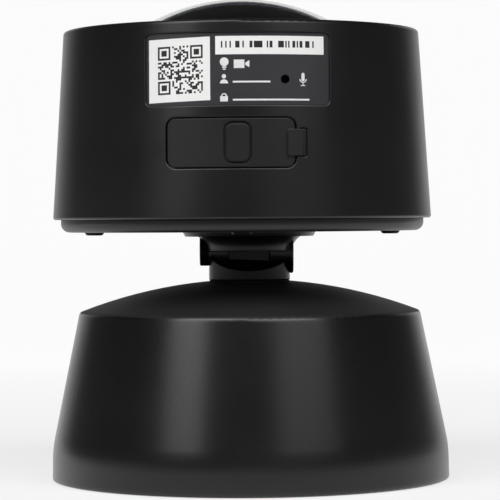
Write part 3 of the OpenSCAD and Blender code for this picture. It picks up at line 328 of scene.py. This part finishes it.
# the two stickers: paper with blocks or bars thrown by the dice, which stand for nothing
# outline in mm, lean in mm up for each mm across, top and bottom in mm under the drum's skin,
# bare: blank columns and rows at the left, below, at the right and above
stickers = dict(
    squareSticker=dict(left=-26.0, right=-8.6, low=111.2, high=129.2, lean=0.036, top=0.36, bottom=0.44,
                       columns=34, rows=33, bare=(5, 4, 4, 4)),
    barSticker=dict(left=-7.1, right=23.6, low=124.7, high=129.9, lean=0.0, top=0.36, bottom=0.44,
                    columns=76, rows=11, bare=(4, 4, 7, 3)),
)
toss = dict(seed=11, inked=0.5)
corner = dict(width=7, middle=3, gap=4, inked=(0, 1, 3))  # a corner square in blocks, and its inked rings
dice = random.Random(toss["seed"])
bars = [dice.random() < toss["inked"] for k in range(stickers["barSticker"]["columns"])]


def isBlock(column, row, across, up):  # three nested corner squares, then the dice
    right, high = across - corner["width"], up - corner["width"]
    for left, low in ((0, high), (right, high), (0, 0)):
        ring = max(abs(column - left - corner["middle"]), abs(row - low - corner["middle"]))
        if ring <= corner["gap"]:
            return ring in corner["inked"]
    return dice.random() < toss["inked"]


def isBar(column, row, across, up):
    return bars[column]


def makePatch(name, s, looks, isInked=None):  # a thin closed sheet that follows the drum
    made = bmesh.new()
    across, up = s["columns"], s["rows"]
    bareLeft, bareLow, bareRight, bareHigh = s["bare"]
    inkAcross, inkUp = across - bareLeft - bareRight, up - bareLow - bareHigh
    stepX = (s["right"] - s["left"]) / across
    stepZ = (s["high"] - s["low"]) / up

    def point(i, j, depth):
        x = stepX * i
        return made.verts.new(onDrum(s["left"] + x, s["low"] + stepZ * j + s["lean"] * x, depth))

    tops, feet = [[[point(i, j, depth) for j in range(up + 1)] for i in range(across + 1)]
                  for depth in (s["top"], s["bottom"])]
    for i in range(across):
        for j in range(up):
            face = made.faces.new((tops[i][j], tops[i + 1][j], tops[i + 1][j + 1], tops[i][j + 1]))
            made.faces.new((feet[i][j], feet[i][j + 1], feet[i + 1][j + 1], feet[i + 1][j]))
            column, row = i - bareLeft, j - bareLow
            if isInked and 0 <= column < inkAcross and 0 <= row < inkUp:
                face.material_index = 1 if isInked(column, row, inkAcross, inkUp) else 0
    edge = [(i, 0) for i in range(across)] + [(across, j) for j in range(up)]
    edge += [(i, up) for i in range(across, 0, -1)] + [(0, j) for j in range(up, 0, -1)]
    for (i, j), (m, n) in zip(edge, edge[1:] + edge[:1]):  # cut edge, down to the film
        made.faces.new((tops[i][j], feet[i][j], feet[m][n], tops[m][n]))
    stickOn(name, made, looks)


for name, isInked in (("squareSticker", isBlock), ("barSticker", isBar)):
    makePatch(name, stickers[name], ["coatedPaperSticker", "printedBlackInk"], isInked)
print("stickers:", len(stickers))


# white prints on the film, plain signs and blank rules, all in mm
# top and bottom under the drum's skin, and the height and the short lengths of a rule
prints = dict(top=0.42, bottom=0.45, ruleHigh=0.5, ruleStep=1.2)


def around(x, z, r, start, end, count):  # points on an arc, from one angle in degrees to another
    turns = [math.radians(start + (end - start) * k / count) for k in range(count + 1)]
    return [(x + r * math.cos(a), z + r * math.sin(a)) for a in turns]


def disc(x, z, r, count=24):
    return around(x, z, r, 0, 360, count)[:-1]


def block(left, low, right, high):
    return [(left, low), (right, low), (right, high), (left, high)]


def arch(x, z, r, thick, start, end, count=16):  # a bent bar
    return around(x, z, r, start, end, count) + around(x, z, r - thick, end, start, count)


def capsule(x, low, high, r, count=12):
    return around(x, high, r, 0, 180, count) + around(x, low, r, 180, 360, count)


signs = {
    "lampSign": [disc(-4.6, 122.6, 1.25), block(-5.2, 120.9, -4.0, 121.3), block(-5.0, 120.35, -4.2, 120.7)],
    "cameraSign": [block(-1.9, 120.8, 1.1, 123.2), [(1.35, 121.7), (2.5, 121.0), (2.5, 123.0), (1.35, 122.3)]],
    "personSign": [disc(-4.7, 118.5, 0.62), arch(-4.7, 116.5, 1.15, 1.1, 0, 180)],
    "lockSign": [block(-5.8, 111.4, -3.6, 112.9), arch(-4.7, 112.9, 0.85, 0.32, 0, 180)],
    "soundSign": [capsule(17.65, 117.5, 119.0, 0.45), arch(17.65, 117.7, 1.05, 0.24, 180, 360),
                  block(17.53, 115.98, 17.77, 116.65), block(17.0, 115.75, 18.3, 115.98)],
}
rules = {
    "personRule": dict(left=-2.2, right=8.4, low=116.7),
    "lockRule": dict(left=-2.2, right=19.4, low=111.6),
}


def makeSign(name, outlines):  # each outline becomes a thin closed prism
    made = bmesh.new()
    for outline in outlines:
        top, foot = [[made.verts.new(onDrum(x, z, depth)) for x, z in outline]
                     for depth in (prints["top"], prints["bottom"])]
        made.faces.new(top)
        made.faces.new(foot[::-1])
        for k in range(len(outline)):
            made.faces.new((top[k - 1], foot[k - 1], foot[k], top[k]))
    bmesh.ops.triangulate(made, faces=made.faces[:])
    stickOn(name, made, ["printedWhiteInk"])


def makeRule(name, s):  # a blank line, in short lengths so that it bends with the drum
    lengths = round((s["right"] - s["left"]) / prints["ruleStep"])
    sheet = dict(s, high=s["low"] + prints["ruleHigh"], lean=0.0, top=prints["top"], bottom=prints["bottom"],
                 columns=lengths, rows=1, bare=(0, 0, 0, 0))
    makePatch(name, sheet, ["printedWhiteInk"])


for name, outlines in signs.items():
    makeSign(name, outlines)
for name, s in rules.items():
    makeRule(name, s)
print("signs and rules:", len(signs) + len(rules))


# round paper cove in metres: a pale floor, laid a hair low, that bends up into a low wall
cove = dict(floorR=1.5, innerR=(0.25, 0.8), drop=0.0002, bend=0.35, bendSteps=10, top=0.95, sides=72)
# seamless paper: even and without gloss; white behind the object, and falling off to grey at the sides
# and in front, so that black plastic stays black; it glows less near the object, whose shadow stays
paper = dict(white="#f4f4f4", grey="#808082", sideWhite=0.60, sideGrey=1.40, frontWhite=-0.07, frontGrey=-0.35,
             nearGlow=0.70, farGlow=0.95, nearR=0.12, farR=0.60)


def paperSurface():
    material, tree, where = newMaterial("seamlessPaper")
    ray = addNode(tree, "ShaderNodeLightPath").outputs
    direct = addNode(tree, "ShaderNodeMath", {"operation": "MAXIMUM"},
                     {0: ray["Is Camera Ray"], 1: ray["Is Glossy Ray"]})
    seen = addNode(tree, "ShaderNodeMath", {"operation": "MAXIMUM"},
                   {0: direct.outputs[0], 1: ray["Is Transmission Ray"]})
    place = addNode(tree, "ShaderNodeSeparateXYZ", links={0: where}).outputs
    aside = addNode(tree, "ShaderNodeMath", {"operation": "ABSOLUTE"}, {0: place[0]})
    between = addNode(tree, "ShaderNodeMapRange",
                      {"From Min": paper["sideGrey"], "From Max": paper["sideWhite"]}, {"Value": aside.outputs[0]})
    behind = addNode(tree, "ShaderNodeMapRange",
                     {"From Min": paper["frontGrey"], "From Max": paper["frontWhite"]}, {"Value": place[1]})
    pale = addNode(tree, "ShaderNodeMath", {"operation": "MULTIPLY"},
                   {0: between.outputs[0], 1: behind.outputs[0]})
    away = addNode(tree, "ShaderNodeVectorMath", {"operation": "LENGTH"}, {0: where})
    shadeless = addNode(tree, "ShaderNodeMapRange",
                        {"From Min": paper["nearR"], "From Max": paper["farR"],
                         "To Min": paper["nearGlow"], "To Max": paper["farGlow"]},
                        {"Value": away.outputs["Value"]})
    lit = addNode(tree, "ShaderNodeMath", {"operation": "MULTIPLY"},
                  {0: pale.outputs[0], 1: shadeless.outputs[0]})
    share = addNode(tree, "ShaderNodeMath", {"operation": "MULTIPLY"}, {0: seen.outputs[0], 1: lit.outputs[0]})
    shade = addNode(tree, "ShaderNodeMix",
                    {"data_type": "RGBA", 6: linear(paper["grey"]), 7: linear(paper["white"])},
                    {0: pale.outputs[0]})
    matt = addNode(tree, "ShaderNodeBsdfDiffuse", links={"Color": shade.outputs[2]})
    glow = addNode(tree, "ShaderNodeEmission", {"Color": (1, 1, 1, 1), "Strength": 1.0})
    mixed = addNode(tree, "ShaderNodeMixShader",
                    links={0: share.outputs[0], 1: matt.outputs[0], 2: glow.outputs[0]})
    closeMaterial(tree, mixed)
    return material


def makeCove():
    path = [(r, 0.0) for r in (*cove["innerR"], cove["floorR"])]
    for k in range(1, cove["bendSteps"] + 1):
        a = math.radians(90 * k / cove["bendSteps"])
        path.append((cove["floorR"] + cove["bend"] * math.sin(a), cove["bend"] * (1 - math.cos(a))))
    path.append((cove["floorR"] + cove["bend"], cove["top"]))
    made = bmesh.new()
    turns = [2 * math.pi * k / cove["sides"] for k in range(cove["sides"])]
    rings = [[made.verts.new((r * math.cos(a), r * math.sin(a), z - cove["drop"])) for a in turns]
             for r, z in path]
    made.faces.new(rings[0])
    for low, high in zip(rings, rings[1:]):
        for k in range(cove["sides"]):
            n = (k + 1) % cove["sides"]
            made.faces.new((low[k], high[k], high[n], low[n]))
    for face in made.faces:
        face.smooth = True
    floor = newObject("paperCove", made)
    floor.data.materials.append(paperSurface())


makeCove()
print("paper rolled out")


# soft boxes in metres: two high ones, and a lower one on each side that draws a soft band down the drum
# and the canopy
boxes = dict(
    highLeft=dict(at=(-0.60, -0.95, 1.45), size=(1.2, 0.8), watts=14),
    highRight=dict(at=(0.60, -0.95, 1.45), size=(1.2, 0.8), watts=14),
    leftBox=dict(at=(-0.74, -0.85, 0.62), size=(0.50, 0.52), watts=2.6),
    rightBox=dict(at=(0.64, -0.93, 0.62), size=(0.74, 0.52), watts=1.6),
)
studio = dict(aim=(0, 0, 0.07), ambient=0.03)


def lightStudio():
    for name, s in boxes.items():
        data = bpy.data.lights.new(name, "AREA")
        data.shape = "RECTANGLE"
        data.size, data.size_y = s["size"]
        data.energy = s["watts"]
        standAt(bpy.data.objects.new(name, data), s["at"], studio["aim"])
    world = bpy.data.worlds.new("dimStudio")
    scene.world = world
    world.use_nodes = True
    tree = world.node_tree
    tree.nodes.clear()
    dim = addNode(tree, "ShaderNodeBackground", {"Color": (1, 1, 1, 1), "Strength": studio["ambient"]})
    addNode(tree, "ShaderNodeOutputWorld", links={"Surface": dim.outputs[0]})


lightStudio()
print("studio lit:", len(boxes), "boxes")
